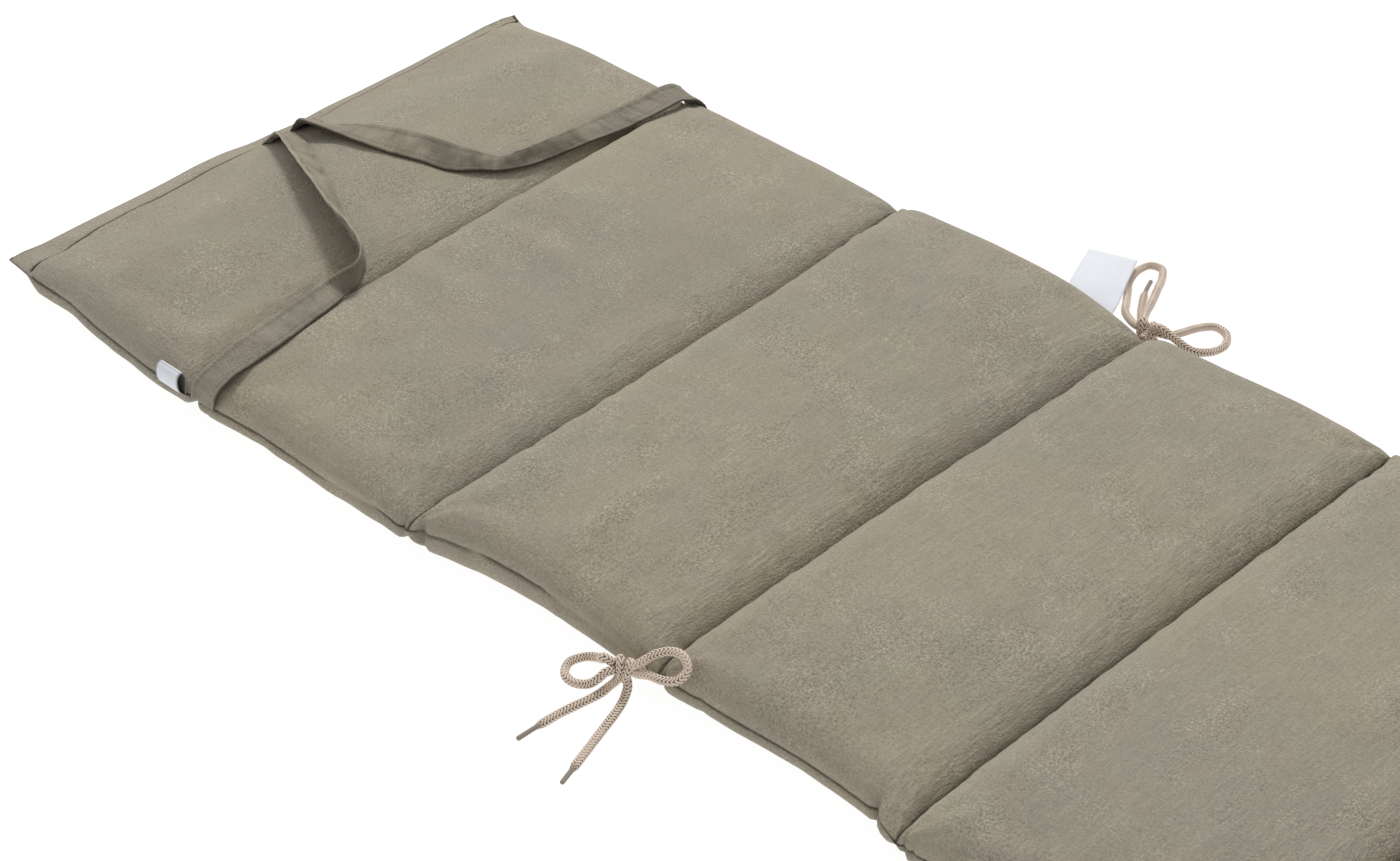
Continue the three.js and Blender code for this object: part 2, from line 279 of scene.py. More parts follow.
def cloth_material(name, by_uv=False):
    """Heathered cloth: fine slubs run across the cushion, or along a strap's own width."""
    n = Nodes(name)
    coordinate = n.add("ShaderNodeTexCoord")
    where = coordinate.outputs["UV" if by_uv else "Object"]
    slubs = n.noise(where, 1.0, 2.0, (520, 60, 520), 0.6)
    grains = n.noise(where, 1.0, 1.0, (760, 520, 760), 0.6)
    crossing = n.noise(where, 1.0, 2.0, (75, 620, 620), 0.55)
    light_spots = n.noise(where, 27.0, 3.0, (1, 0.8, 1), 0.6)
    dark_spots = n.noise(where, 23.0, 3.0, (1, 0.7, 1.3), 0.6)
    streaks = n.noise(where, 1.0, 1.0, (190, 7, 190))
    tone = n.noise(where, 4.5, 2.0)
    tint = n.noise(where, 24.0, 3.0)
    coarse = n.mark("coarse")
    base = n.mix(n.ramp(tone, 0.35, 0.68), CLOTH_TAUPE, CLOTH_GREEN_GREY)
    base = n.mix(n.times(n.ramp(tint, 0.44, 0.66), 0.65), base, CLOTH_WARM)
    coarse_share = n.plus(n.times(coarse, 0.7), 0.15)
    light_share = n.plus(n.times(n.ramp(light_spots, 0.46, 0.66), 0.70), 0.25)
    dark_share = n.plus(n.times(n.ramp(dark_spots, 0.47, 0.63), 0.65), 0.25)
    dark = n.times(n.ramp(grains, 0.49, 0.33), dark_share)
    light = n.times(n.ramp(grains, 0.53, 0.66), light_share)
    lines_dark = n.times(n.ramp(slubs, 0.49, 0.33), coarse_share)
    lines_light = n.times(n.ramp(slubs, 0.55, 0.70), coarse_share)
    layers = (
        (lines_dark, 0.30, CLOTH_DARK_THREAD),
        (n.ramp(crossing, 0.48, 0.28), 0.14, CLOTH_DARK_THREAD),
        (dark, 0.52, CLOTH_DARK_THREAD),
        (light, 0.60, CLOTH_FLECK),
        (lines_light, 0.36, CLOTH_FLECK),
        (n.times(n.ramp(streaks, 0.60, 0.74), coarse), 0.16, CLOTH_FLECK),
        # Painted highlight: lighter on the pad's shoulders and the straps' edges that face the light
        (n.mark("painted_highlight"), 0.30, CLOTH_FLECK),
    )
    for amount, share, colour in layers:
        base = n.mix(n.times(amount, share), base, colour)
    # Straps: dark mottled soiling all along, and painted shade added around one place on each
    if by_uv:
        soil_and_shade = n.times(n.ramp(dark_spots, 0.26, 0.58), n.mark("soil_and_shade"))
        base = n.mix(soil_and_shade, base, CLOTH_DARK_THREAD)
    # Painted shade: dark in the seam grooves, the side seams' lines, the tucks and along the straps'
    # edges
    base = n.mix(n.mark("seam"), base, SEAM_SHADE)
    weave = n.plus(n.times(n.times(slubs, coarse_share), 0.8), n.times(grains, 0.8))
    weave = n.plus(weave, n.times(crossing, 0.25))
    n.feed(n.shader, {
        "Base Color": base, "Normal": n.bump(weave, 0.0012, 0.8), "Roughness": 0.92,
        "Sheen Weight": 0.10, "Sheen Roughness": 0.5, "Specular IOR Level": 0.2,
    })
    return n.material


CORD_BEIGE = (0.84, 0.70, 0.56, 1)
CORD_PINK = (0.80, 0.61, 0.50, 1)
CORD_DARK = (0.060, 0.038, 0.030, 1)
CORD_TIP = (0.27, 0.22, 0.18, 1)
BRAID_COLUMNS = 6
BRAID_STITCH = 2.6
BRAID_SLANT = 1.15


def cord_material():
    """Braided cord: slanted stitches in columns, darker between them, by the tube's uv."""
    n = Nodes("braided_cord")
    split = n.add("ShaderNodeSeparateXYZ")
    n.link(n.add("ShaderNodeTexCoord").outputs["UV"], split.inputs[0])
    column = n.times(split.outputs["Y"], BRAID_COLUMNS)
    across = n.math("SUBTRACT", n.math("FRACT", column), 0.5)
    odd = n.math("MODULO", n.math("FLOOR", column), 2.0)
    lean = n.math("SUBTRACT", n.times(odd, 2.0), 1.0)
    slanted = n.times(n.times(across, lean), BRAID_SLANT)
    run = n.plus(n.math("DIVIDE", split.outputs["X"], BRAID_STITCH * MM), slanted)
    gap = n.times(n.math("ABSOLUTE", n.math("SUBTRACT", n.math("FRACT", run), 0.5)), 2.0)
    side = n.times(n.math("ABSOLUTE", across), 2.0)
    far = n.plus(n.times(n.math("POWER", gap, 2.0), 0.95),
                 n.times(n.math("POWER", side, 3.0), 0.42))
    where = n.add("ShaderNodeTexCoord").outputs["Object"]
    fuzz = n.noise(where, 1900, 2.0)
    bare = n.noise(where, 60, 1.0)
    shares = n.plus(n.times(n.ramp(bare, 0.66, 0.46), 0.40), 0.60)
    base = n.mix(n.times(odd, 0.45), CORD_BEIGE, CORD_PINK)
    base = n.mix(n.times(n.ramp(fuzz, 0.55, 0.3), 0.2), base, CORD_DARK)
    base = n.mix(n.times(n.ramp(far, 0.46, 0.66), shares), base, CORD_DARK)
    base = n.mix(n.mark("tip"), base, CORD_TIP)
    n.feed(n.shader, {
        "Base Color": base, "Normal": n.bump(fuzz, 0.0004, 0.6), "Roughness": 0.75,
        "Sheen Weight": 0.15,
    })
    return n.material


LABEL_WHITE = (0.80, 0.82, 0.87, 1)
LABEL_SHADE = (0.66, 0.68, 0.74, 1)
LABEL_RIM_AND_SHADE = (0.035, 0.036, 0.045, 1)
LABEL_INSIDE = (0.075, 0.070, 0.035, 1)


def label_material():
    n = Nodes("label_cloth")
    where = n.add("ShaderNodeTexCoord").outputs["Object"]
    weave = n.noise(where, 1.0, 1.0, (1800, 1800, 1800))
    cloudy = n.noise(where, 35.0, 2.0)
    base = n.mix(n.times(n.ramp(cloudy, 0.4, 0.7), 0.35), LABEL_WHITE, LABEL_SHADE)
    base = n.mix(n.times(n.ramp(weave, 0.55, 0.35), 0.12), base, LABEL_SHADE)
    # Darker rims at the side label's two edges, and a painted shade line along its fold's crest
    base = n.mix(n.mark("rims_and_crest_shade"), base, LABEL_RIM_AND_SHADE)
    base = n.mix(n.mark("inside"), base, LABEL_INSIDE)
    n.feed(n.shader, {
        "Base Color": base, "Normal": n.bump(weave, 0.0003, 0.5), "Roughness": 0.8,
        "Specular IOR Level": 0.25,
    })
    return n.material


cover_cloth = cloth_material("cover_cloth")
strap_cloth = cloth_material("strap_cloth", by_uv=True)
tie_cord = cord_material()
label_cloth = label_material()

# ---- the tie cords
CORD_RADIUS = 2.85
CORD_AROUND = 36
CORD_STEP = 0.5
BRAID_RELIEF = 0.38
INTO_KNOT = 0.55
TAIL_TAPERS = {"tail_head": 15, "tail_foot": 12}
TURN_POINTS = 84

# Each tie's routes, from the knot, and whether the cord comes back to it (a loop) or ends free.
TIES = {
    "tie_near": {
        "loop_head": [
            (618, -260.8, 22), (612.5, -257, 15), (604, -252.5, 8), (595, -255, 4.6), (591, -265, 4.2),
            (597, -275, 4.2), (607, -277, 4.4), (616, -273.5, 6.5), (622, -270.5, 12.5),
            (624.5, -266, 16.5),
        ],
        "loop_foot": [
            (641.9, -255.2, 26.9), (650, -246, 34.5), (658, -240, 37.5), (667, -239, 37.5),
            (673.5, -243, 33), (671.5, -250, 28), (663, -254, 25.5), (652, -255.5, 24),
            (643.4, -256.6, 20.8),
        ],
        "tail_head": [
            (628.8, -260.7, 9.4), (626.5, -265, 5.5), (626, -272, 4.2), (624.5, -282, 4.1),
            (621, -300, 4.1), (619, -319, 4.1), (618, -338, 4.1),
        ],
        "tail_foot": [
            (638.2, -260.2, 10.8), (640.5, -265, 6), (644, -274, 4.2), (649, -290, 4.1), (655, -310, 4.1),
            (661, -330, 4.1), (666, -347, 4.1),
        ],
    },
    "tie_far": {
        "loop_head": [
            (641.8, 264.5, 19), (636, 275, 17), (629, 291, 14), (619, 312, 10.5), (610, 330, 7),
            (601, 341, 5), (592, 340, 4.2), (589, 328, 4.2), (593, 313, 4.3), (600, 302, 5),
            (610, 287, 8), (622, 270, 12.5), (637.5, 260, 15.5),
        ],
        "loop_foot": [
            (662.9, 258.8, 19.9), (665, 264, 17), (666, 280, 12), (668, 298, 7.5), (674, 309, 5),
            (685, 307, 4.8), (692, 295, 5), (691, 279, 7.5), (684, 265, 13), (672, 259.2, 21),
            (661.4, 256.4, 26.2),
        ],
        "tail_head": [
            (644, 262.5, 8.3), (639, 268, 5.5), (628, 281, 4.2), (617, 297, 4.1), (609, 312, 4.1),
            (604, 325, 4.1),
        ],
        "tail_foot": [
            (655, 262, 7.6), (662, 263.5, 4.6), (674, 263.5, 4.1), (694, 263, 4.1), (716, 264, 4.1),
            (738, 266, 4.1),
        ],
    },
}

# Each knot's turns of cord: centre, axis of the turn, and radius across and along z.
KNOT_TURNS = {
    "tie_near": table(
        "centre axis across up",
        ((629.4, -258.0, 19.6), (0.66, 0.74, 0.10), 3.3, 5.6),
        ((634.9, -257.4, 19.0), (0.72, 0.66, -0.20), 3.3, 6.6),
    ),
    "tie_far": table(
        "centre axis across up",
        ((645, 258, 17.5), (0.70, 0.70, 0.10), 3.2, 5.6),
        ((653, 258.5, 17), (0.72, 0.66, -0.15), 3.2, 5.6),
    ),
}
KNOT_STEMS = {
    "tie_near": [(633, -259, 18), (634.5, -252, 16), (636, -243.5, 14)],
    "tie_far": [(650, 259, 17), (651, 254, 16), (652, 249.5, 15)],
}


def sweep_frames(path, closed=False):
    """Two directions across the path at each point, without twist."""
    if closed:
        along = unit(np.roll(path, -1, axis=0) - np.roll(path, 1, axis=0))
    else:
        along = unit(np.gradient(path, axis=0))
    side = np.zeros_like(path)
    start = np.cross(along[0], (0, 0, 1.0))
    if np.linalg.norm(start) < 0.1:
        start = np.cross(along[0], (1.0, 0, 0))
    side[0] = unit(start)
    for k in range(1, len(path)):
        previous = side[k - 1]
        side[k] = unit(previous - along[k] * np.dot(previous, along[k]))
    return side, np.cross(along, side)


def braid(turn, gone):
    """Height of the braid's stitches at a share of a turn round the cord and a distance along it."""
    column = turn * BRAID_COLUMNS
    across = column % 1 - 0.5
    lean = np.floor(column) % 2 * 2 - 1
    run = gone / BRAID_STITCH + across * lean * BRAID_SLANT
    gap = 2 * np.abs(run % 1 - 0.5)
    return BRAID_RELIEF * (0.6 - 0.95 * gap ** 2 - 0.42 * (2 * np.abs(across)) ** 3)


def cord_tube(path, closed=False, taper=None, seed=1):
    """Points, faces and marks of a braided tube along the path, which is in mm."""
    side, up = sweep_frames(path, closed)
    gone = distances_along(path)
    angle = np.linspace(0, 2 * math.pi, CORD_AROUND, endpoint=False)
    s, a = np.meshgrid(gone, angle, indexing="ij")
    height = braid(a / (2 * math.pi), s)
    shape = np.ones(len(path)) * CORD_RADIUS
    tip = np.zeros_like(s)
    fade = np.ones_like(s)
    if taper:
        left_over = gone[-1] - gone
        body = eased((left_over - taper) / 7.0)
        shape = CORD_RADIUS * (0.56 + 0.44 * body)
        end = held(left_over / 1.6)
        shape = shape * np.sqrt(np.maximum(1 - (1 - end) ** 2, 0.02))
        tip = np.repeat((1 - body)[:, None], CORD_AROUND, axis=1) * 0.9
        fade = np.repeat(body[:, None], CORD_AROUND, axis=1) * 0.75 + 0.25
    wobble = 1 + 0.03 * line_noise(gone, 12, seed)
    reach = (shape * wobble)[:, None] + height * fade
    points = path[:, None, :] + reach[..., None] * (
        np.cos(a)[..., None] * side[:, None, :] + np.sin(a)[..., None] * up[:, None, :])
    rows = len(path)
    faces = grid_faces(rows, CORD_AROUND, wrap=True)
    points = points.reshape(-1, 3)
    marks = {"along": s.ravel() * MM, "turn": (a / (2 * math.pi)).ravel(), "tip": tip.ravel()}
    if closed:
        k = np.arange(CORD_AROUND)
        after = (k + 1) % CORD_AROUND
        last = (rows - 1) * CORD_AROUND
        faces = np.vstack([faces, np.stack([last + k, last + after, after, k], axis=-1)])
        return points, faces.tolist(), marks
    ends = [list(range(CORD_AROUND))[::-1], [(rows - 1) * CORD_AROUND + k for k in range(CORD_AROUND)]]
    centres = [path[0], path[-1]]
    faces = faces.tolist()
    for ring, centre in zip(ends, centres):
        points = np.vstack([points, centre])
        hub = len(points) - 1
        faces += [[ring[k], ring[(k + 1) % CORD_AROUND], hub] for k in range(CORD_AROUND)]
        for key in marks:
            marks[key] = np.append(marks[key], marks[key][ring[0]])
    return points, faces, marks


def cord_object(name, points, faces, marks):
    """A braided tube as an object, its uv counted along and round it."""
    uv = np.stack([marks.pop("along"), marks.pop("turn")], axis=1)
    return make_object(name, points, faces, tie_cord, uv=uv, marks=marks, round_uv=True)


def joined(parts):
    """Several (points, faces, marks) as one."""
    points, faces, marks = [], [], {}
    start = 0
    for part_points, part_faces, part_marks in parts:
        points.append(part_points)
        faces += [[k + start for k in face] for face in part_faces]
        start += len(part_points)
        for key, values in part_marks.items():
            marks.setdefault(key, []).append(values)
    return np.vstack(points), faces, {key: np.concatenate(values) for key, values in marks.items()}


def knot_turn(turn):
    """The ring of points that a turn of cord runs along."""
    axis = unit(np.array(turn["axis"], float))
    up = unit(np.array((0, 0, 1.0)) - axis * axis[2])
    out = np.cross(axis, up)
    angle = np.linspace(0, 2 * math.pi, TURN_POINTS, endpoint=False)[:, None]
    ring = turn["across"] * np.cos(angle) * out + turn["up"] * np.sin(angle) * up
    return np.array(turn["centre"]) + ring + axis * 0.9 * np.sin(angle)


def make_ties():
    for tie, routes in TIES.items():
        knot_parts = [cord_tube(knot_turn(turn), closed=True, seed=50 + k)
                      for k, turn in enumerate(KNOT_TURNS[tie])]
        stem, _ = even_spline(KNOT_STEMS[tie], CORD_STEP)
        knot_parts.append(cord_tube(stem, seed=60))
        points, faces, marks = joined(knot_parts)
        knot = cord_object(f"{tie}_knot_turns", points, faces, marks)
        dress(knot, f"{tie}_knot")
        middle = np.mean([turn["centre"] for turn in KNOT_TURNS[tie]], axis=0)
        for number, (name, route) in enumerate(routes.items()):
            is_loop = name.startswith("loop")
            start = route[0] + (middle - np.array(route[0])) * INTO_KNOT
            points = [start] + list(route)
            if is_loop:
                points.append(route[-1] + (middle - np.array(route[-1])) * INTO_KNOT)
            path, length = even_spline(points, CORD_STEP)
            tube, faces, marks = cord_tube(path, taper=TAIL_TAPERS.get(name), seed=70 + number)
            piece = cord_object(f"{tie}_{name}_cord", tube, faces, marks)
            dress(piece, f"{tie}_{name}")


make_ties()

# ---- the pad
CROWN_ARCH = 3
FLANK_WIDTH = 45
LONG_FLANK = {"width": 78, "power": 1.3, "share": 0.62}
END_WIDTH = 95
SHOULDER_POWER = 4
FLANK_POWER = 2.4
CHANNEL_LIFT = 3.5
END_POWER = 1.25
SIDE_ROUND = 5
SIDE_FULL = 2.2
END_UNDERSIDE = 6
UNDERSIDE_GROOVE = 9
UNDERSIDE_GROOVE_WIDTH = 11
UNDERSIDE_END_WIDTH = 14
HEAD_EDGE_MIDDLE = -10
HEAD_EDGE_SWING = 9.5
HEAD_EDGE_NEAR = 4.5
FAR_CORNER_OUT = 5.0
FAR_CORNER_REACH = 12.0
GROOVE_DEPTH = 6.5
GROOVE_WIDTH = 2.0
GROOVE_WIDTH_BEFORE = 3.6
PUCKER_DEPTH = 1.9
GATHER_DEPTH = 1.8
FAR_SWELL = 2.0
SEAM_INSET = 1.9
END_LINE_DEPTH = 1.8
NEAR_PULL = 1.2
FAR_PULL = 0.3
HEAD_SAG_WIDTH = 9.0
EAR_THICKNESS = 2.2
EAR_FROM, EAR_TO = 22.0, 38.0

SEAMS = table(
    "near_x far_x bow near_y far_y near_z far_z channel",
    (0, 0, 0, -240.5, 252, 15, 12, 11),
    (211, 205, 11.5, -255, 251, 13, 15, 28),
    (429, 423, 13.5, -253, 252, 12, 15, 25),
    (648, 659, 2.5, -244, 246, 13, 15, 18),
    (852, 861, 4.5, -248, 255, 13, 15, 22),
    (1082, 1084, 3, -248, 250, 13, 14, 22),
    (1308, 1306, 5, -249, 250, 13, 14, 24),
    (1533, 1534, 2, -248, 250, 13, 14, 22),
    (1760, 1760, 0, -244, 246, 12, 12, 11),
)
PANELS = table(
    "crown near_out far_out",
    (45, -1, -4), (47, -2, -2), (48, -8, 10), (48, -6, 0), (48, -6, 6), (47, -6, 6), (48, -5, 5),
    (46, -2, 4),
)


def head_edge(v):
    corner = FAR_CORNER_OUT * held((v - 0.88) / 0.12) ** 2
    near = HEAD_EDGE_NEAR * (0.5 - 0.5 * np.tanh(12 * (v + 0.36)))
    return HEAD_EDGE_MIDDLE + HEAD_EDGE_SWING * np.tanh(2.5 * v + 0.3) + corner + near


def seam_x(index, v):
    row = SEAMS[index]
    x = row["near_x"] + (row["far_x"] - row["near_x"]) * (v + 1) / 2 + row["bow"] * (1 - v ** 4)
    return x + head_edge(v) if index == 0 else x


# The near side along the cushion: how far it stands out of the solid's, how far its side seam climbs,
# how deep the seam's line is drawn in and how dark its painted shade is, and how far the cloth above it
# swells.
NEAR_SIDE = table(
    "x out climb line swell",
    (-20, -1.5, 0, 0.9, 0.3), (22, 1.5, 0, 0.9, 0.5), (60, -0.5, 0, 1.0, 0.8), (100, 3.0, 0, 1.0, 1.0),
    (160, 4.0, 0, 1.0, 0.8), (205, 1.5, 0, 1.0, 0.3), (219, 1.0, 0, 1.0, 0.3), (248, -0.5, 0, 1.0, 0.8),
    (277, -1.5, 0, 1.0, 1.2), (306, 0.0, 0.5, 1.0, 1.5), (340, 1.5, 1.0, 0.7, 2.0),
    (352, 2.0, 2.0, 0.05, 2.5), (393, 1.5, 5.0, 0.05, 2.5), (403, 1.0, 5.0, 0.9, 2.5),
    (423, 1.5, 1.5, 1.0, 1.0), (436, 2.0, 5.0, 0.6, 1.0), (455, 0.5, 8.0, 0.7, 0.8),
    (478, -0.5, 9.0, 0.6, 0.8), (484, -1.0, 9.5, 0.1, 0.8), (495, -1.0, 10.0, 0.9, 0.8),
    (542, -0.5, 9.0, 0.8, 1.2), (556, 0, 7.0, 0.05, 2.0), (640, 0, 3.0, 0.05, 2.0),
    (664, 0, 1.0, 1.0, 0.5), (713, 0, 0, 1.0, 1.0), (762, -2.5, 0, 1.0, 1.0), (790, -3.5, 0, 1.0, 1.0),
    (826, -3.5, 0.5, 1.0, 0.6), (834, -1.0, -1.0, 0.9, 1.5), (856, 5.5, -1.5, 1.0, 1.8),
    (900, 4.5, 0, 1.0, 0.8), (990, 0, 3.0, 0.8, 2.0), (1130, 1.0, 0, 1.0, 1.0),
    (1240, 0, 2.0, 0.9, 1.6), (1350, -1.0, 0, 1.0, 1.0), (1440, 1.0, 4.0, 0.7, 2.4),
    (1580, 0, 0, 1.0, 1.0), (1760, 0, 0, 1.0, 0.6),
)


def near_side(column, x):
    return read(NEAR_SIDE, column, "x", x)


def pad_section(panel, t, v):
    """The plain pad, near its solid: x, y, heights of the top and the underside, and the side seam's."""
    first, last = SEAMS[panel], SEAMS[panel + 1]
    shape = PANELS[panel]
    swell = np.sin(math.pi * t)
    length = seam_x(panel + 1, v) - seam_x(panel, v)
    x = seam_x(panel, v) + length * t

    def between(column):
        return first[column] + (last[column] - first[column]) * t

    near_y = between("near_y") - shape["near_out"] * swell - near_side("out", x)
    far_y = between("far_y") + shape["far_out"] * swell
    near_z = between("near_z") + near_side("climb", x)
    side_z = near_z + (between("far_z") - near_z) * (v + 1) / 2
    if panel == 0:
        far_y = far_y + FAR_CORNER_OUT * np.exp(-t * length / FAR_CORNER_REACH)
        sag = read(HEAD_SAG, "sag", "v", v)
        side_z = side_z - sag * np.exp(-t * length / HEAD_SAG_WIDTH)
    top = shape["crown"] + CROWN_ARCH * 4 * t * (1 - t)
    under = 0
    sides = (
        (first, panel, t * length, SHOULDER_POWER),
        (last, panel + 1, (1 - t) * length, FLANK_POWER),
    )
    for seam, index, distance, power in sides:
        is_end = index in (0, len(SEAMS) - 1)
        width = END_WIDTH if is_end else FLANK_WIDTH
        drop = shape["crown"] - seam["channel"] - (0 if is_end else CHANNEL_LIFT)
        if is_end or index == panel:
            top = top - drop * fall(distance, width, END_POWER if is_end else power)
        else:
            slow = LONG_FLANK["share"]
            top = top - drop * slow * fall(distance, LONG_FLANK["width"], LONG_FLANK["power"])
            top = top - drop * (1 - slow) * fall(distance, width, power)
        if is_end:
            under = under + END_UNDERSIDE * fall(distance, UNDERSIDE_END_WIDTH, 1.5)
        else:
            under = under + UNDERSIDE_GROOVE * fall(distance, UNDERSIDE_GROOVE_WIDTH, 1.5)
    round_share = np.maximum(1 - np.abs(v) ** SIDE_ROUND, 0) ** (1 / SIDE_FULL)
    return {
        "x": x,
        "y": near_y + (far_y - near_y) * (v + 1) / 2,
        "top": side_z + np.maximum(0, top - side_z) * round_share,
        "under": under,
        "side_z": side_z,
        "near_y": near_y,
        "far_y": far_y,
        "length": length,
    }


def pad_top(x, y):
    """Height of the plain pad's top face under a point, as the straps' tables need it."""
    v = y / 250
    for _ in range(4):
        panel = 0
        while panel < len(PANELS) - 1 and x > seam_x(panel + 1, v):
            panel += 1
        t = (x - seam_x(panel, v)) / (seam_x(panel + 1, v) - seam_x(panel, v))
        at = pad_section(panel, held(t), v)
        v = np.clip(2 * (y - at["near_y"]) / (at["far_y"] - at["near_y"]) - 1, -1, 1)
    return float(at["top"])


# Distances of the pad's rows of points from a channel, from the head end's sewn line and from the foot
# end.
SEAM_STATIONS = np.array([0, 0.7, 1.5, 2.5, 3.8, 5.4, 7.4, 10, 13, 16.5, 20.5, 25, 30, 35.5, 41.5, 48, 55,
                          63])
HEM_SHARES = np.array([0, 0.12, 0.3, 0.5, 0.7, 0.88])
HEM_BEFORE = np.array([4, 3, 2.2, 1.6, 1.1, 0.7, 0.35])
HEM_STATIONS = np.array([0, 0.7, 1.5, 2.6, 4.5, 7.5, 11, 15, 20, 26, 33, 41, 50, 60])
END_STATIONS = np.array([0, 1, 2.5, 5, 8, 12, 16, 19, 20.6, 21.5, 22.1, 22.8, 24, 27, 32, 39, 47, 56])
MIDDLE_STEP = 5.5
PAD_ACROSS = 156
HEAD_SEAM = 12.0
END_SEAM_INSET = 22.0
UNDERSIDE_ACROSS = 16

# The cloth below the side seam, from the seam down: how far out of the plain side, and its share of the
# height.
SIDE_BAND = table(
    "out height",
    (-SEAM_INSET, 1.0), (-0.4, 0.94), (0.7, 0.85), (1.3, 0.70), (1.3, 0.52), (0.5, 0.34), (-1.1, 0.18),
    (-3.4, 0.07), (-6.5, 0.0),
)

# Short creases that run up the near side, mostly beside the channels' ends.
NEAR_TUCKS = table(
    "x depth width",
    (213, 4.0, 3.0), (223, 1.4, 1.8), (424, 2.6, 2.2), (440, 4.2, 4.0), (560, 1.0, 3.0),
    (634, 2.0, 3.0), (652, 2.6, 2.4), (684, 0.9, 2.0), (828, 4.2, 2.6), (858, 3.0, 2.0),
    (865, 1.6, 1.6), (1074, 2.4, 3.0), (1088, 3.2, 2.4), (1298, 3.4, 2.6), (1520, 3.0, 2.8),
    (1538, 2.2, 2.0),
)
# How the head end's edge sags between its corners, across from the near side to the far one.
HEAD_SAG = table(
    "v sag",
    (-1, 0), (-0.88, 3.5), (-0.64, 5.5), (-0.3, 4.2), (0, 2), (0.5, 2), (0.8, 0.6), (0.93, -0.6),
    (1, -2.6),
)


def panel_rows(panel, v):
    """Each row's place along the panel, from 0 to 1, at each v: rows × columns, close at the seams."""
    length = seam_x(panel + 1, v) - seam_x(panel, v)
    first = SEAM_STATIONS[:, None] + 0 * v
    last = length - SEAM_STATIONS[::-1][:, None]
    if panel == 0:
        inset = HEAD_SEAM - head_edge(v)
        first = np.concatenate([HEM_SHARES[:, None] * (inset - HEM_BEFORE[0]),
                                inset - HEM_BEFORE[:, None], inset + HEM_STATIONS[:, None]])
    if panel == len(PANELS) - 1:
        last = length - END_STATIONS[::-1][:, None]
    count = int(round((last[0] - first[-1]).mean() / MIDDLE_STEP))
    share = np.linspace(0, 1, count + 1)[1:-1][:, None]
    rows = np.concatenate([first, first[-1] + (last[0] - first[-1]) * share, last]) / length
    return rows if panel == 0 else rows[1:]


def across_places():
    """Places across the top from -1 to 1, close together at the sides."""
    w = np.linspace(-1, 1, PAD_ACROSS + 1)
    return np.sign(w) * (1 - (1 - np.abs(w)) ** SIDE_FULL * (0.45 + 0.55 * (1 - np.abs(w))))


def seam_distances(panel, at, t):
    """The panel's two seams: distance from each, whether it is an end of the cushion, and its number."""
    return (
        (t * at["length"], panel == 0, panel),
        ((1 - t) * at["length"], panel == len(PANELS) - 1, panel + 1),
    )


def near_tucks(x):
    return sum(row["depth"] * hump(x, row["x"], row["width"]) for row in NEAR_TUCKS)


def seam_pull(panel, before, after):
    """How far the ends of the channels draw the sides in, from 0 to 1."""
    return np.exp(-before / 7) * (panel > 0) + np.exp(-after / 7) * (panel < len(PANELS) - 1)


SLACK_ALONG = 25
SLACK_ACROSS = 57
SLACK_FRAMES = 20
SLACK_PRESSURE = 3.5
SLACK_SHRINK = -0.02
SLACK_BLUR = 3.5
SLACK_CAP = 2.5
SLACK_STRAP_REACH = 18.0


def blurred(grid, width):
    """The grid after a blur of `width` cells along both of its first two axes."""
    reach = int(3 * width)
    weights = np.exp(-0.5 * (np.arange(-reach, reach + 1) / width) ** 2)
    weights = weights / weights.sum()
    for axis in (0, 1):
        pads = [(reach, reach) if k == axis else (0, 0) for k in range(grid.ndim)]
        padded = np.pad(grid, pads, mode="edge")
        size = grid.shape[axis]
        grid = sum(weight * np.take(padded, range(k, k + size), axis=axis)
                   for k, weight in enumerate(weights))
    return grid


def strap_cover(x, y):
    """0 under the straps and 1 away from them."""
    nearest = np.full(np.shape(x), 1e3)
    for rows in (STRAP_NEAR, STRAP_FAR):
        middle = spline([(np.add(row["raised"], row["low"]) / 2) for row in rows], 90)
        for point in middle:
            nearest = np.minimum(nearest, np.hypot(x - point[0], y - point[1]))
    return held((nearest - SLACK_STRAP_REACH) / 20)


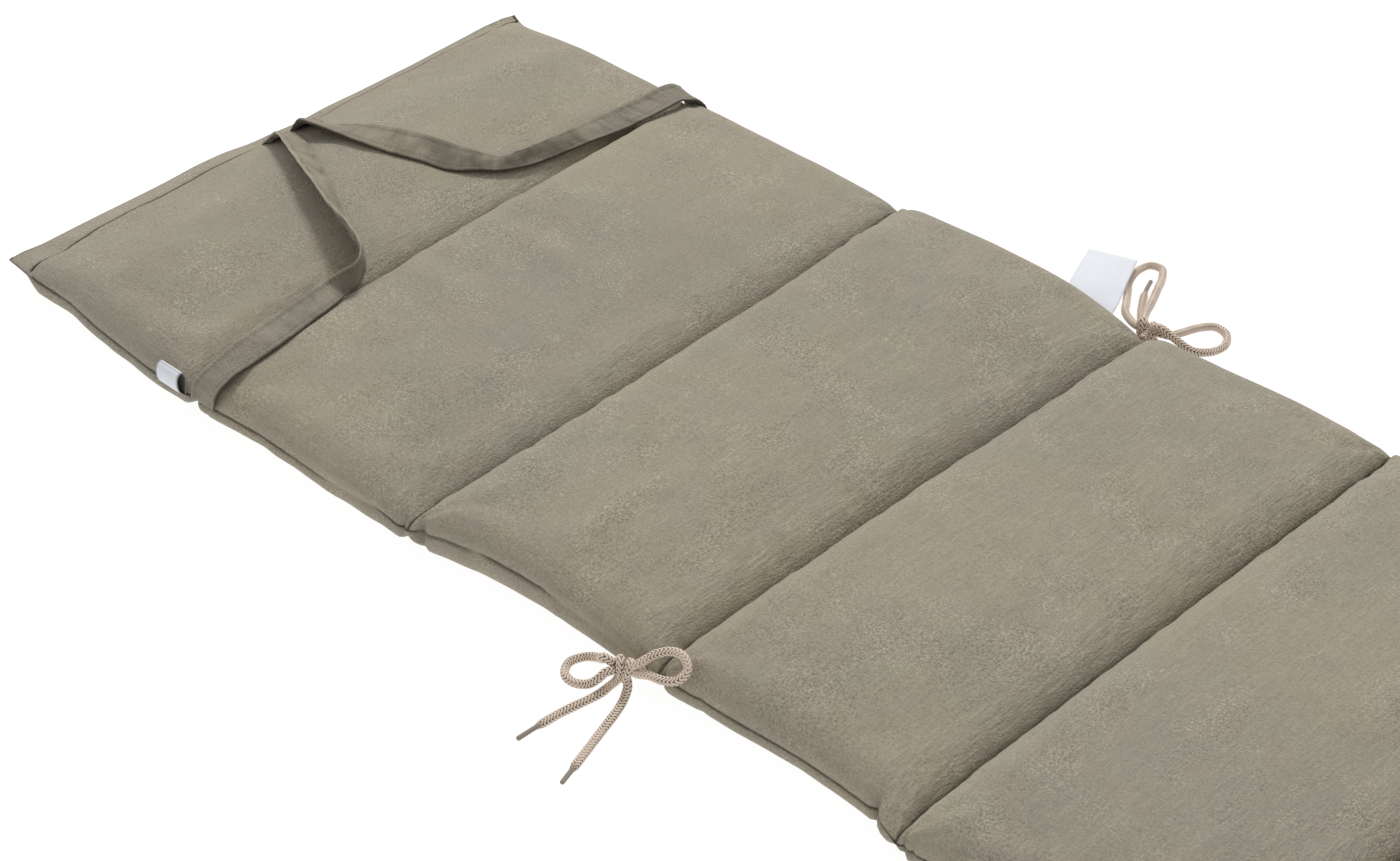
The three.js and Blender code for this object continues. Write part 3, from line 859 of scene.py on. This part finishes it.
def simulate_slack():
    """How the cover's cloth shifts when its filling presses on it: mm for each row and column."""
    v = np.linspace(-1, 1, SLACK_ACROSS)[None, :]
    points = []
    for panel in range(len(PANELS)):
        t = np.linspace(0, 1, SLACK_ALONG)[:, None] + 0 * v
        at = pad_section(panel, t, v + 0 * t)
        grid = np.stack([at["x"], at["y"], at["top"]], axis=-1)
        points.append(grid if panel == 0 else grid[1:])
    start = np.concatenate(points)
    rows = len(start)
    mesh = bpy.data.meshes.new("slack")
    mesh.from_pydata(to_frame(start.reshape(-1, 3)).tolist(), [], grid_faces(rows, SLACK_ACROSS).tolist())
    cloth = add_object("slack", mesh)
    pinned = [row * SLACK_ACROSS + column for row in range(rows) for column in range(SLACK_ACROSS)
              if row % (SLACK_ALONG - 1) == 0 or column in (0, 1, SLACK_ACROSS - 2, SLACK_ACROSS - 1)]
    cloth.vertex_groups.new(name="held").add(pinned, 1.0, "REPLACE")
    modifier = cloth.modifiers.new("cloth", "CLOTH")
    settings = modifier.settings
    settings.quality = 6
    settings.mass = 0.2
    settings.tension_stiffness = settings.compression_stiffness = 14
    settings.bending_stiffness = 0.6
    settings.vertex_group_mass = "held"
    settings.use_pressure = True
    settings.uniform_pressure_force = SLACK_PRESSURE
    settings.shrink_min = SLACK_SHRINK
    settings.effector_weights.gravity = 0
    modifier.collision_settings.use_collision = False
    modifier.point_cache.frame_start = 1
    modifier.point_cache.frame_end = SLACK_FRAMES
    for number in range(1, SLACK_FRAMES + 1):
        bpy.context.scene.frame_set(number)
    shaped = cloth.evaluated_get(bpy.context.evaluated_depsgraph_get()).to_mesh()
    flat = np.zeros(rows * SLACK_ACROSS * 3)
    shaped.vertices.foreach_get("co", flat)
    end = flat.reshape(rows, SLACK_ACROSS, 3) / MM + (HALF_LENGTH, 0, 0)
    bpy.data.objects.remove(cloth)
    bpy.data.meshes.remove(mesh)
    bpy.context.scene.frame_set(1)
    shift = end - start
    shift = shift - blurred(shift, SLACK_BLUR)
    size = np.linalg.norm(shift, axis=-1, keepdims=True)
    shift = shift * np.tanh(size / SLACK_CAP) / np.maximum(size / SLACK_CAP, 1e-6)
    return shift * strap_cover(start[..., 0], start[..., 1])[..., None]


def smooth_value(grid, row, column):
    """The grid's value between its cells, by a cubic B-spline."""
    total = np.zeros(np.shape(row) + (3,))
    first_row, first_column = np.floor(row).astype(int), np.floor(column).astype(int)
    weights = []
    for place, first in ((row, first_row), (column, first_column)):
        f = place - first
        weights.append([(1 - f) ** 3 / 6, (3 * f ** 3 - 6 * f ** 2 + 4) / 6,
                        (-3 * f ** 3 + 3 * f ** 2 + 3 * f + 1) / 6, f ** 3 / 6])
    for i in range(4):
        for j in range(4):
            r = np.clip(first_row + i - 1, 0, grid.shape[0] - 1)
            c = np.clip(first_column + j - 1, 0, grid.shape[1] - 1)
            total += (weights[0][i] * weights[1][j])[..., None] * grid[r, c]
    return total


def pad_surface(panel, t, v):
    """The dressed top face over rows and columns of t and v, with the painted shade in its seams and
    creases, its painted highlight and how coarse its weave looks.
    """
    at = pad_section(panel, t, v)
    x, y, z = at["x"], at["y"], at["top"]
    side = np.abs(v)
    half = (at["far_y"] - at["near_y"]) / 2
    inward = (1 - side) * half
    free = held(inward / 12)
    high = held((z - at["side_z"]) / 20)
    seam = np.zeros_like(z)

    # The cloth's slack from the simulation, uneven filling and slow waves
    if cloth_slack is not None:
        row = (panel + t) * (SLACK_ALONG - 1)
        shift = smooth_value(cloth_slack, row, (v + 1) / 2 * (SLACK_ACROSS - 1)) * free[..., None]
        x, y, z = x + shift[..., 0], y + shift[..., 1], z + shift[..., 2]
    z = z + high * (1.0 * spread_noise(x, y, 150, 11) + 0.5 * spread_noise(x, y, 55, 12))

    for distance, is_end, number in seam_distances(panel, at, t):
        # Puckers that run away from a sewn channel, whose stitches pull a narrow groove
        if not is_end:
            close = np.exp(-distance / 11) * (1 - np.exp(-distance / 2.0))
            ripple = 0.6 * line_noise(y, 13, number * 7) + 0.4 * line_noise(y, 34, number * 7 + 1)
            z = z + PUCKER_DEPTH * close * ripple * free
            groove = GROOVE_WIDTH if number == panel else GROOVE_WIDTH_BEFORE
            z = z - GROOVE_DEPTH * np.exp(-distance / groove) * np.clip(inward / 25, 0.25, 1)
            x = x + 0.7 * line_noise(y, 22, number * 5 + 2) * np.exp(-distance / 9)
            # Painted shade darkens the channel's groove
            seam = np.maximum(seam, 0.92 * hump(distance, 0, 1.5))
        # Gathers that fan out from the seam's two ends
        for sign in (-1, 1):
            reach = (1 - sign * v) * half
            away = np.hypot(distance, reach) + 1e-3
            angle = np.arctan2(distance, reach)
            fan = np.sin(angle * 10 + 1.3 * line_noise(away, 50, number * 5 + sign + 9) + number)
            size = (0.35 if is_end else 1.0) * np.exp(-away / 26) * held(away / 10)
            z = z + GATHER_DEPTH * size * fan * held(high * 1.5)

    # The side swells out over the side seam, and its cloth is uneven
    before, after = (distance for distance, _, _ in seam_distances(panel, at, t))
    rise = held((z - at["side_z"]) / np.maximum(PANELS[panel]["crown"] - at["side_z"], 1))
    swell = np.where(v < 0, near_side("swell", x), FAR_SWELL)
    swell = swell * hump(rise, 0.30, 0.30) * held((side - 0.88) / 0.1)
    uneven = 0.7 * np.where(v < 0, line_noise(x, 38, 41), line_noise(x, 38, 42)) * rise
    fine = 0.25 * np.where(v < 0, line_noise(x, 12, 43), line_noise(x, 12, 44)) * hump(rise, 0.12, 0.2)
    edge = held((side - 0.93) / 0.06)
    pull = np.where(v < 0, NEAR_PULL, FAR_PULL) * seam_pull(panel, before, after)
    tucks = np.where(v < 0, near_tucks(x), 0) * held(1.15 - rise / 0.45) * edge
    y = y + np.sign(v) * (swell + (uneven + fine) * edge - tucks - pull * held(1 - inward / 30))
    # Painted shade in the near side's tucks
    seam = np.maximum(seam, 0.10 * tucks * hump(rise, 0.1, 0.2))

    # The side seam itself, drawn in by its stitches
    lip = held(1 - rise / 0.05)
    line = np.where(v < 0, near_side("line", x), 1)
    y = np.where(side == 1, y - np.sign(v) * SEAM_INSET * line, y + np.sign(v) * 0.5 * lip * line)
    # Painted shade along the side seam's line
    seam = np.maximum(seam, line * held(1.7 - (z - at["side_z"]) / 0.9) * (side > 0.97)
                      * ((side == 1) | (panel > 0) | (before > 30)))

    if panel in (0, len(PANELS) - 1):
        inset = HEAD_SEAM - head_edge(v) if panel == 0 else END_SEAM_INSET
        from_end = before if panel == 0 else after
        sewn = held(inward / 3)
        z = z - END_LINE_DEPTH * hump(from_end, inset, 1.5) * sewn
        z = z + 1.2 * np.exp(-np.maximum(from_end - inset - 3, 0) / 9) * free * (from_end > inset + 1)
        z = z + 0.22 * line_noise(y, 15, 61) * hump(from_end, inset, 14) * free
        # Painted shade along the end's sewn line
        seam = np.maximum(seam, 0.95 * hump(from_end, inset - 0.8, 1.05) * sewn)
    # Painted highlight on each panel's shoulder just after a channel, where the cloth faces the light
    painted_highlight = 0.8 * np.exp(-before / 14) * (panel > 0) * free
    coarse = np.interp(x, [430, 560], [0.05, 0.38])
    if panel < len(PANELS) - 1:
        coarse = coarse + 0.8 * hump(after, 14, 16) * free
    return x, y, z, seam, painted_highlight, coarse


def corner_share(panel, t, v_side):
    """How far each row belongs to the head end's thin corners, where the cover's corner stands out."""
    if panel:
        return 0 * t
    distance = t * (seam_x(1, v_side) - seam_x(0, v_side))
    return 1 - eased((distance - EAR_FROM) / (EAR_TO - EAR_FROM))


def pad_ring(panel, v):
    """Rings round the pad along a panel: the dressed top, the side bands and the underside."""
    t = panel_rows(panel, v)
    rows = len(t)
    parts = [pad_surface(panel, t, v[None, :] + 0 * t)]
    out = np.array([row["out"] for row in SIDE_BAND])[None, :]
    height = np.array([row["height"] for row in SIDE_BAND])[None, :]
    for sign in (1, -1):
        column = -1 if sign == 1 else 0
        edge_t = t[:, [column]]
        at = pad_section(panel, edge_t, np.full((rows, 1), float(sign)))
        before, after = (distance for distance, _, _ in seam_distances(panel, at, edge_t))
        pull = (FAR_PULL if sign == 1 else NEAR_PULL) * seam_pull(panel, before, after)
        corner = corner_share(panel, edge_t, sign)
        wave = 0.6 * line_noise(at["x"], 36, 45 + sign) + 0.12 * line_noise(at["x"], 10, 48 + sign)
        tall = at["side_z"] / 13
        body = np.where(out > 0, out * tall, out) + wave * np.sin(math.pi * (1 - height)) - pull
        if sign == -1:
            line = near_side("line", at["x"])
            body = body - near_tucks(at["x"]) + (1 - line) * np.where(height > 0.9, -0.9 * out, 0)
        else:
            line = 1 + 0 * at["x"]
        low = at["under"] + (at["side_z"] - EAR_THICKNESS - at["under"]) * corner
        band_z = low + (at["side_z"] - low) * height
        band_y = at["y"] + sign * body
        # Painted shade along the side seam's line and in the near side's tucks
        shade = line * np.where(height == 1, 1.0, np.where(height > 0.9, 0.7, 0)) + 0 * band_z
        shade = np.maximum(shade, 0.10 * near_tucks(at["x"]) * (sign == -1) + 0 * band_z)
        band = [at["x"] + 0 * band_z, band_y, band_z, shade, 0 * band_z, 0.5 + 0 * band_z]
        if sign == 1:
            far_corner = corner
            parts.append([part[:, 1:] for part in band])
        else:
            near_corner = corner
            near_band = [part[:, :0:-1] for part in band]
    under_v = np.linspace(0.96, -0.96, UNDERSIDE_ACROSS)[None, :] + np.zeros((rows, 1))
    under_t = np.stack([np.interp(row, v, places) for row, places in zip(under_v, t)])
    under = pad_section(panel, under_t, under_v)
    reach = held((np.abs(under_v) - 0.72) / 0.24) ** 2
    lift = np.where(under_v > 0, far_corner, near_corner) * reach
    under_z = under["under"] + (under["side_z"] - EAR_THICKNESS - under["under"]) * lift
    parts.append([under["x"], under["y"], under_z, 0 * under_z, 0 * under_z, 0.5 + 0 * under_z])
    parts.append(near_band)
    return [np.concatenate([part[k] for part in parts], axis=1) for k in range(6)]


def ladder(above, below, order, flip):
    """Triangles between two chains of points that run the same way, in the order of `order`."""
    faces, i, j = [], 0, 0
    while i < len(above) - 1 or j < len(below) - 1:
        upper = j == len(below) - 1 or (
            i < len(above) - 1 and order[above[i + 1]] <= order[below[j + 1]])
        if upper:
            face = [above[i], above[i + 1], below[j]]
            i += 1
        else:
            face = [above[i], below[j + 1], below[j]]
            j += 1
        faces.append(face[::-1] if flip else face)
    return faces


def make_pad():
    v = across_places()
    columns = [pad_ring(panel, v) for panel in range(len(PANELS))]
    x, y, z, seam, painted_highlight, coarse = (np.concatenate([column[k] for column in columns]) for k in range(6))
    rows, size = x.shape
    points = np.stack([x, y, z], axis=-1).reshape(-1, 3)
    faces = grid_faces(rows, size, wrap=True)[:, ::-1].tolist()
    for start, flip in ((0, True), ((rows - 1) * size, False)):
        above = [start + k for k in range(len(v))]
        below = [start + k for k in range(size - 1, len(v) - 1, -1)]
        faces += ladder(above, below, points[:, 1], flip)
    marks = {"seam": seam.ravel(), "painted_highlight": painted_highlight.ravel(), "coarse": coarse.ravel()}
    pad = make_object("pad_cover", points, faces, cover_cloth, marks=marks)
    dress(pad, "cushion")


# ---- the straps
STRAP_THICKNESS = 1.8
REST_LIFT = STRAP_THICKNESS / 2 + 0.5


def on(x, y, more=0.0):
    return (x, y, pad_top(x, y) + REST_LIFT + more)


STRAP_NEAR = table(
    "raised low",
    (on(13, -20), on(13, 7)), ((24, -21, 35), on(27, 3)), ((36, -26, 47), on(42, -4)),
    ((52, -34, 56), on(59, -13)), ((72, -45, 62.5), on(80, -24)), ((100, -58, 67.5), on(108, -38)),
    ((138, -74, 72), on(145, -57, 0.3)), ((170, -87, 74), on(176, -74, 0.6)),
    ((192, -93, 75), on(196, -81, 1)), ((214, -100, 73), (211, -91, 45)),
    ((226, -107, 69), (219, -101, 41)), ((230, -116, 66), on(223, -113, 0.5)),
    ((224, -126, 60), on(229, -124, 0.6)), ((216, -137, 51.5), on(237, -140, 0.3)),
    ((214.5, -158, 47.5), on(241, -163)), ((216, -190, 46), on(243.5, -192)),
    ((217, -218, 44), on(242, -221)), ((217, -240, 38), (241, -242, 37)),
    ((214, -255, 29), (240, -256, 29)), ((211, -256.6, 15), (236, -256.8, 15)),
)
STRAP_FAR = table(
    "raised low",
    (on(13, 8.6), on(13, 37)), ((30, 3, 42), on(29, 31)), ((49, -4.5, 52.5), on(44, 23)),
    ((72, -0.5, 52.5), on(63, 26)), ((96, 4, 51.5), on(87, 32, 1)), (on(124, 12.5), on(112, 40, 3)),
    (on(148, 21), on(136, 47, 3.5)), (on(170, 29.5), on(156, 54, 3)),
    ((185.9, 45.2, 45.8), on(174, 62.5, 2)), ((195.5, 58.8, 43.5), on(185, 71, 1)),
    ((201.8, 73.3, 42), (189.5, 82.1, 46.5)), ((206.5, 91.4, 41), (191.2, 96.8, 45.5)),
    ((211.1, 117.4, 41), (193.7, 116.8, 45.5)), ((214.1, 139.4, 40.7), (195.7, 136.8, 45.5)),
    ((219.3, 161.8, 41), (197.3, 159.8, 45.5)), ((223.2, 185.3, 42), (200, 183.7, 46)),
    ((225.8, 208.7, 43), (201.7, 206.6, 46)), ((225.4, 223.6, 42.5), (202.2, 220.6, 46)),
    ((225.6, 233.6, 38.5), (203, 230, 45)), ((225.6, 242.1, 34), (202.5, 239, 40.5)),
    ((227.4, 248.5, 27), (202, 248, 28)), ((228, 252.6, 15), (201.5, 252.7, 15)),
)
# Where along a strap, as shares of its length, its cross-section curls and how high, which edge gets a
# painted pale highlight, and how much of the dark soiling it has everywhere and how much painted shade
# around one place.
STRAP_LOOKS = {
    "head_strap_near": {
        "centre": 0.80, "width": 0.10, "height": 1.0, "highlit_edge": "raised",
        "soil": 0.30, "painted_shade": 0.50, "shade_centre": 0.665, "shade_width": 0.09,
    },
    "head_strap_far": {
        "centre": 0.55, "width": 0.16, "height": 4.0, "highlit_edge": "low",
        "soil": 0.35, "painted_shade": 0.65, "shade_centre": 0.50, "shade_width": 0.20,
    },
}
STRAP_ACROSS = 28
STRAP_ALONG = 400
STRAP_UV_WIDTH = 0.028
HEM_WIDTH = 5.5
HEM_THICKNESS = 0.45
STITCH_INSET = 4.3
STITCH_LENGTH = 3.2


def band_surface(rows, along, across):
    """The middle surface of a band, its normals, the distance along it and its width at each row."""
    raised = spline([row["raised"] for row in rows], along)
    low = spline([row["low"] for row in rows], along)
    share = np.linspace(0, 1, across)[None, :, None]
    surface = raised[:, None, :] * (1 - share) + low[:, None, :] * share
    run = np.gradient(surface, axis=0)
    width = np.repeat((low - raised)[:, None, :], across, axis=1)
    normal = unit(np.cross(run, width))
    return surface, normal, distances_along((raised + low) / 2), np.linalg.norm(low - raised, axis=1)


def closed_sheet(upper, lower):
    """One closed mesh from the two faces of a sheet, both as rows × columns points."""
    rows, columns = upper.shape[:2]
    ring = np.concatenate([upper, lower[:, ::-1]], axis=1)
    size = 2 * columns
    faces = grid_faces(rows, size, wrap=True)[:, ::-1].tolist()
    for start, forward in ((0, True), ((rows - 1) * size, False)):
        for k in range(columns - 1):
            quad = [start + k, start + k + 1, start + size - 2 - k, start + size - 1 - k]
            faces.append(quad if forward else quad[::-1])
    return ring.reshape(-1, 3), faces


def both_faces(above, below=None):
    """A number for each point of a closed sheet's two faces, in the order of its points."""
    return np.concatenate([above, (above if below is None else below)[:, ::-1]], axis=1).ravel()


def make_strap(name, node, rows, seed):
    across = np.linspace(0, 1, STRAP_ACROSS)
    surface, normal, gone, widths = band_surface(rows, STRAP_ALONG, STRAP_ACROSS)
    s = gone[:, None]
    w = across[None, :] * widths.mean()
    creases = 0.85 * spread_noise(s, 0.5 * w, 24, seed) + 0.5 * spread_noise(s, 0.6 * w, 11, seed + 1)
    edge = np.minimum(w, widths.mean() - w)
    hem = HEM_THICKNESS * held((HEM_WIDTH - edge) / 0.9 + 0.5)
    stitch = hump(edge, STITCH_INSET, 0.8) * held(0.5 + np.cos(2 * math.pi * s / STITCH_LENGTH))
    looks = STRAP_LOOKS[name]
    bow = 6.75 * across ** 2 * (1 - across)
    arch = looks["height"] * hump(s / gone[-1], looks["centre"], looks["width"]) * bow
    shape = (arch + creases * np.clip(edge / 4, 0.25, 1))[..., None] * normal
    half = STRAP_THICKNESS / 2 - 0.15
    rounded = np.sqrt(np.clip(1 - (1 - held(edge / 0.8)) ** 2, 0.05, 1))
    up = ((half + hem) * rounded - 0.35 * stitch)[..., None] * normal
    down = ((half + hem * 0.2) * rounded)[..., None] * normal
    points, faces = closed_sheet(surface + shape + up, surface + shape - down)
    u = both_faces(np.repeat(across[None, :] * STRAP_UV_WIDTH, STRAP_ALONG, axis=0))
    along = both_faces(np.repeat(s * MM, STRAP_ACROSS, axis=1))
    # One edge of each strap gets a painted pale highlight, the other a painted contact shadow
    from_highlit_edge = (w if looks["highlit_edge"] == "raised" else widths.mean() - w) + 0 * s
    painted_edge_shadow = 0.9 * hump(from_highlit_edge, widths.mean(), 0.9)
    # Darker stitches and hem edge, with the painted contact shadow along one edge
    seam = both_faces(held(0.35 * stitch + 0.2 * hump(edge, HEM_WIDTH, 0.5) + painted_edge_shadow))
    painted_highlight = both_faces(1.7 * hump(from_highlit_edge, 0, 1.4))
    # Dark soiling all along the strap, with painted shade added around one place
    around = hump(s / gone[-1], looks["shade_centre"], looks["shade_width"])
    soil_and_shade = looks["soil"] + looks["painted_shade"] * around
    marks = {"seam": seam, "painted_highlight": painted_highlight, "coarse": 0.45 + 0 * seam, "soil_and_shade": both_faces(soil_and_shade + 0 * w)}
    uv = np.stack([along, u], axis=1)
    strap = make_object(name, points, faces, strap_cloth, uv=uv, marks=marks)
    dress(strap, node)


cloth_slack = simulate_slack()
make_pad()
make_strap("head_strap_near", "strap_near", STRAP_NEAR, 81)
make_strap("head_strap_far", "strap_far", STRAP_FAR, 91)

# ---- the labels
CARE_LABEL = table(
    "raised low",
    ((619, 252.9, 14), (577, 258.4, 15)), ((614, 271, 16), (571, 270, 16)),
    ((601, 299, 14.5), (559, 297, 11)), ((588, 328, 12.5), (547, 324, 6)),
)
LABEL_THICKNESS = 0.8


def make_care_label():
    along, across = 40, 24
    surface, normal, gone, widths = band_surface(CARE_LABEL, along, across)
    s = gone[:, None]
    w = np.linspace(0, 1, across)[None, :] * widths.mean()
    curl = 0.5 * spread_noise(s, w, 45, 101)
    shape = curl[..., None] * normal
    half = LABEL_THICKNESS / 2 * normal
    points, faces = closed_sheet(surface + shape + half, surface + shape - half)
    zero = np.zeros(len(points))
    marks = {"rims_and_crest_shade": zero, "inside": zero}
    label = make_object("care_label_sheet", points, faces, label_cloth, marks=marks)
    dress(label, "care_label")


SIDE_LABEL_X = (183.5, 206.0)
SIDE_LABEL_HALF = 0.45
SIDE_LABEL_FOLD = [
    (-256.8, 12), (-262.0, 18), (-263.6, 25), (-262.2, 31), (-258.6, 32.6), (-256.0, 28), (-256.2, 21),
    (-257.4, 14),
]


def make_side_label():
    fold = spline([(0, y, z) for y, z in SIDE_LABEL_FOLD], 60)
    run = unit(np.gradient(fold, axis=0))
    normal = np.stack([np.zeros(len(fold)), run[:, 2], -run[:, 1]], axis=1)
    xs = np.linspace(*SIDE_LABEL_X[::-1], 14)
    surface = np.repeat(fold[:, None, :], len(xs), axis=1)
    surface[:, :, 0] = xs[None, :]
    half = SIDE_LABEL_HALF * normal[:, None, :]
    points, faces = closed_sheet(surface - half, surface + half)
    place = np.linspace(0, 1, len(fold))[:, None] + 0 * xs[None, :]
    # A painted shade line along the fold's crest, and darker rims at the label's two edges
    crest_shade = 0.35 * hump(place, 0.53, 0.025)
    at_x = xs[None, :] + 0 * place
    rims = hump(at_x, SIDE_LABEL_X[1], 0.8) + hump(at_x, SIDE_LABEL_X[0], 0.6)
    rims_and_crest_shade = np.maximum(crest_shade, 0.5 * held(rims))
    marks = {
        "rims_and_crest_shade": both_faces(rims_and_crest_shade, rims_and_crest_shade * 0),
        "inside": both_faces(rims_and_crest_shade * 0, rims_and_crest_shade * 0 + 0.9),
    }
    label = make_object("side_label_fold", points, faces, label_cloth, marks=marks)
    dress(label, "side_label")


make_care_label()
make_side_label()

# ---- floor and light
FLOOR_SIZE = 16.0
FLOOR_Z = -0.0006
FLOOR_GLOW = 0.93
FLOOR_GREY = (0.12, 0.12, 0.12, 1)
WHITE = (1, 1, 1, 1)
WORLD_STRENGTH = 0.58
KEY_PLACE, KEY_TARGET, KEY_SIZE, KEY_POWER = (-3.9, 4.6, 7.0), (-0.35, 0, 0), 2.1, 430


def make_floor():
    n = Nodes("pale_floor")
    n.feed(n.shader, {
        "Base Color": FLOOR_GREY, "Roughness": 0.9, "Emission Color": WHITE,
        "Emission Strength": FLOOR_GLOW,
    })
    mesh = bpy.data.meshes.new("floor")
    half = FLOOR_SIZE / 2
    corners = [(x, y, FLOOR_Z) for x, y in ((-half, -half), (half, -half), (half, half), (-half, half))]
    mesh.from_pydata(corners, [], [(0, 1, 2, 3)])
    mesh.materials.append(n.material)
    floor = add_object("floor", mesh)


def make_light(name, place, target, size, power):
    data = bpy.data.lights.new(name, "AREA")
    data.shape = "DISK"
    data.size = size
    data.energy = power
    light = add_object(name, data)
    light.location = place
    light.rotation_euler = (Vector(target) - Vector(place)).to_track_quat("-Z", "Y").to_euler()


def make_world():
    world = bpy.data.worlds.new("studio")
    world.use_nodes = True
    background = world.node_tree.nodes["Background"]
    background.inputs["Color"].default_value = WHITE
    background.inputs["Strength"].default_value = WORLD_STRENGTH
    bpy.context.scene.world = world


make_floor()
make_world()
make_light("key", KEY_PLACE, KEY_TARGET, KEY_SIZE, KEY_POWER)
view = bpy.context.scene.view_settings
view.view_transform = "Standard"
view.look = "None"
